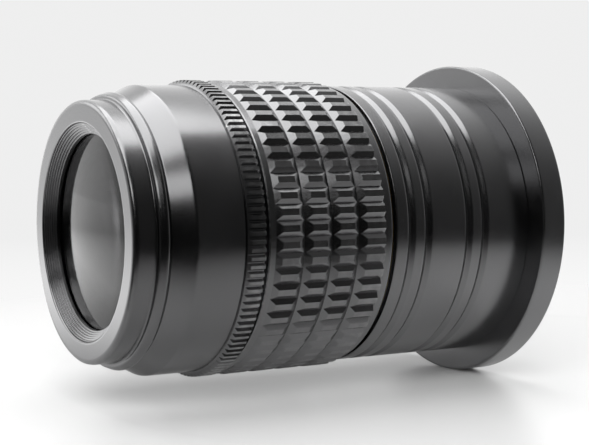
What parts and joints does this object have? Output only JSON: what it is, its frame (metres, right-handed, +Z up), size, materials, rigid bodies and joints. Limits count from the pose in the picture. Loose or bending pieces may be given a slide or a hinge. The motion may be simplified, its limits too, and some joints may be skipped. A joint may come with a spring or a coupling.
{
  "type": "camera lens",
  "caption": "Black anodised ultraviolet camera lens with a ribbed focus ring, a toothed aperture ring, a working iris and a plain round mounting flange.",
  "frame": {"origin": "centre of the flange's rear face, which meets the camera", "axes": "-Y along the optical axis towards the front glass, +Y towards the camera, +Z up, +X to the right when looking along +Y with +Z up"},
  "size_m": [0.0826, 0.113, 0.0826],
  "materials": {
    "black_anodised": "satin black anodised aluminium with fine turning marks",
    "dark_optical_black": "dull black optical paint",
    "bright_aluminium": "bare turned aluminium, lightly greased",
    "bearing_brass": "turned brass",
    "screw_steel": "fine machined steel",
    "blade_steel": "blued spring steel",
    "coated_glass": "polished and thinly coated"
  },
  "bodies": {
    "fixed_body": {"mount_flange": "black_anodised", "flange_screws": "screw_steel", "rear_barrel": "black_anodised", "rear_baffle": "dark_optical_black", "guide_tube": "dark_optical_black", "focus_bearing_ring": "bearing_brass", "focus_stop_pin": "screw_steel"},
    "focus": {"focus_ring": "black_anodised", "focus_grip": "black_anodised"},
    "front_group": {"slide_tube": "bright_aluminium", "guide_keys": "bearing_brass", "key_screws": "screw_steel", "front_barrel": "black_anodised", "filter_ring": "black_anodised", "ridged_ring": "black_anodised", "front_cell": "dark_optical_black", "front_glass": "coated_glass", "front_spacer": "dark_optical_black", "second_glass": "coated_glass", "third_glass": "coated_glass", "third_glass_keeper": "dark_optical_black", "iris_housing": "dark_optical_black", "iris_cover": "dark_optical_black", "rear_cell": "dark_optical_black", "fourth_glass": "coated_glass", "pair_spacer": "dark_optical_black", "fifth_glass": "coated_glass", "rear_spacer": "dark_optical_black", "rear_glass": "coated_glass", "rear_glass_keeper": "dark_optical_black", "click_ball": "screw_steel", "click_spring": "screw_steel", "aperture_ring_clip": "screw_steel"},
    "aperture": {"aperture_ring": "black_anodised", "iris_drive_pin": "screw_steel", "iris_drive_ring": "screw_steel"},
    "blade_1": {"iris_blade_1": "blade_steel"},
    "blade_2": {"iris_blade_2": "blade_steel"},
    "blade_3": {"iris_blade_3": "blade_steel"},
    "blade_4": {"iris_blade_4": "blade_steel"},
    "blade_5": {"iris_blade_5": "blade_steel"},
    "blade_6": {"iris_blade_6": "blade_steel"},
    "blade_7": {"iris_blade_7": "blade_steel"},
    "blade_8": {"iris_blade_8": "blade_steel"}
  },
  "joints": [
    {"name": "focus_turn", "type": "hinge", "parent": "fixed_body", "child": "focus", "pos_m": [0, 0, 0], "axis": [0, -1, 0], "range_deg": [0, 180]},
    {"name": "focus_slide", "type": "slide", "parent": "fixed_body", "child": "front_group", "axis": [0, -1, 0], "range_m": [0, 0.012]},
    {"name": "aperture_turn", "type": "hinge", "parent": "front_group", "child": "aperture", "pos_m": [0, 0, 0], "axis": [0, -1, 0], "range_deg": [0, 40]},
    {"name": "iris_blade_1_swing", "type": "hinge", "parent": "front_group", "child": "blade_1", "pos_m": [0.0225, -0.09, 0], "axis": [0, -1, 0], "range_deg": [0, 28.01]},
    {"name": "iris_blade_2_swing", "type": "hinge", "parent": "front_group", "child": "blade_2", "pos_m": [0.01591, -0.09, 0.01591], "axis": [0, -1, 0], "range_deg": [0, 28.01]},
    {"name": "iris_blade_3_swing", "type": "hinge", "parent": "front_group", "child": "blade_3", "pos_m": [0, -0.09, 0.0225], "axis": [0, -1, 0], "range_deg": [0, 28.01]},
    {"name": "iris_blade_4_swing", "type": "hinge", "parent": "front_group", "child": "blade_4", "pos_m": [-0.01591, -0.09, 0.01591], "axis": [0, -1, 0], "range_deg": [0, 28.01]},
    {"name": "iris_blade_5_swing", "type": "hinge", "parent": "front_group", "child": "blade_5", "pos_m": [-0.0225, -0.09, 0], "axis": [0, -1, 0], "range_deg": [0, 28.01]},
    {"name": "iris_blade_6_swing", "type": "hinge", "parent": "front_group", "child": "blade_6", "pos_m": [-0.01591, -0.09, -0.01591], "axis": [0, -1, 0], "range_deg": [0, 28.01]},
    {"name": "iris_blade_7_swing", "type": "hinge", "parent": "front_group", "child": "blade_7", "pos_m": [0, -0.09, -0.0225], "axis": [0, -1, 0], "range_deg": [0, 28.01]},
    {"name": "iris_blade_8_swing", "type": "hinge", "parent": "front_group", "child": "blade_8", "pos_m": [0.01591, -0.09, -0.01591], "axis": [0, -1, 0], "range_deg": [0, 28.01]}
  ],
  "couplings": [
    {"joint": "focus_slide", "follows": "focus_turn", "m_per_rad": 0.0038197},
    {"joint": "iris_blade_1_swing", "follows": "aperture_turn", "ratio": 0.7},
    {"joint": "iris_blade_2_swing", "follows": "aperture_turn", "ratio": 0.7},
    {"joint": "iris_blade_3_swing", "follows": "aperture_turn", "ratio": 0.7},
    {"joint": "iris_blade_4_swing", "follows": "aperture_turn", "ratio": 0.7},
    {"joint": "iris_blade_5_swing", "follows": "aperture_turn", "ratio": 0.7},
    {"joint": "iris_blade_6_swing", "follows": "aperture_turn", "ratio": 0.7},
    {"joint": "iris_blade_7_swing", "follows": "aperture_turn", "ratio": 0.7},
    {"joint": "iris_blade_8_swing", "follows": "aperture_turn", "ratio": 0.7}
  ]
}
